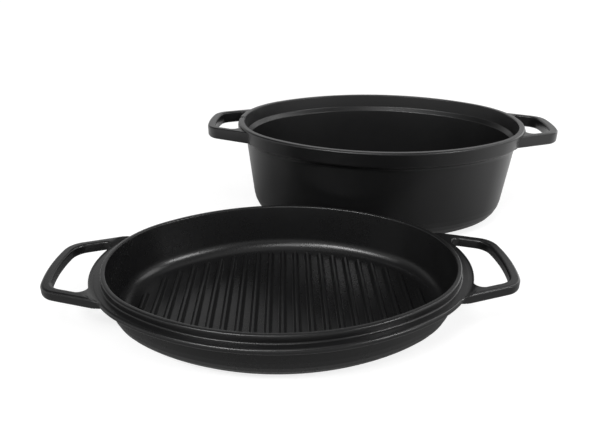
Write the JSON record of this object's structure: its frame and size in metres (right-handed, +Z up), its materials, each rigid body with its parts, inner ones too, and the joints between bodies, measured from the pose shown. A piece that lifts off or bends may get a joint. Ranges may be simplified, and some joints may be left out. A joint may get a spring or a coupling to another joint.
{
  "type": "casserole with grill lid",
  "caption": "Oval cast-iron casserole pot with loop handles, and its shallow lid with a ribbed grill floor standing beside it, ribs up.",
  "frame": {"origin": "centre of the pot's base, on the surface that the pot and the lid stand on", "axes": "+Z up, X along the pot's long side through both its handles, with the lid standing on the -Y side"},
  "size_m": [0.4635, 0.4351, 0.1055],
  "materials": {
    "black_cast_iron": "satin black, fine cast grain"
  },
  "bodies": {
    "pot": {"casserole_pot": "black_cast_iron"},
    "lid": {"grill_lid": "black_cast_iron"}
  },
  "joints": [
    {"name": "lid_lift", "type": "slide", "parent": "pot", "child": "lid", "axis": [0, -0.6, 0.8], "range_m": [0, 0.15]}
  ]
}
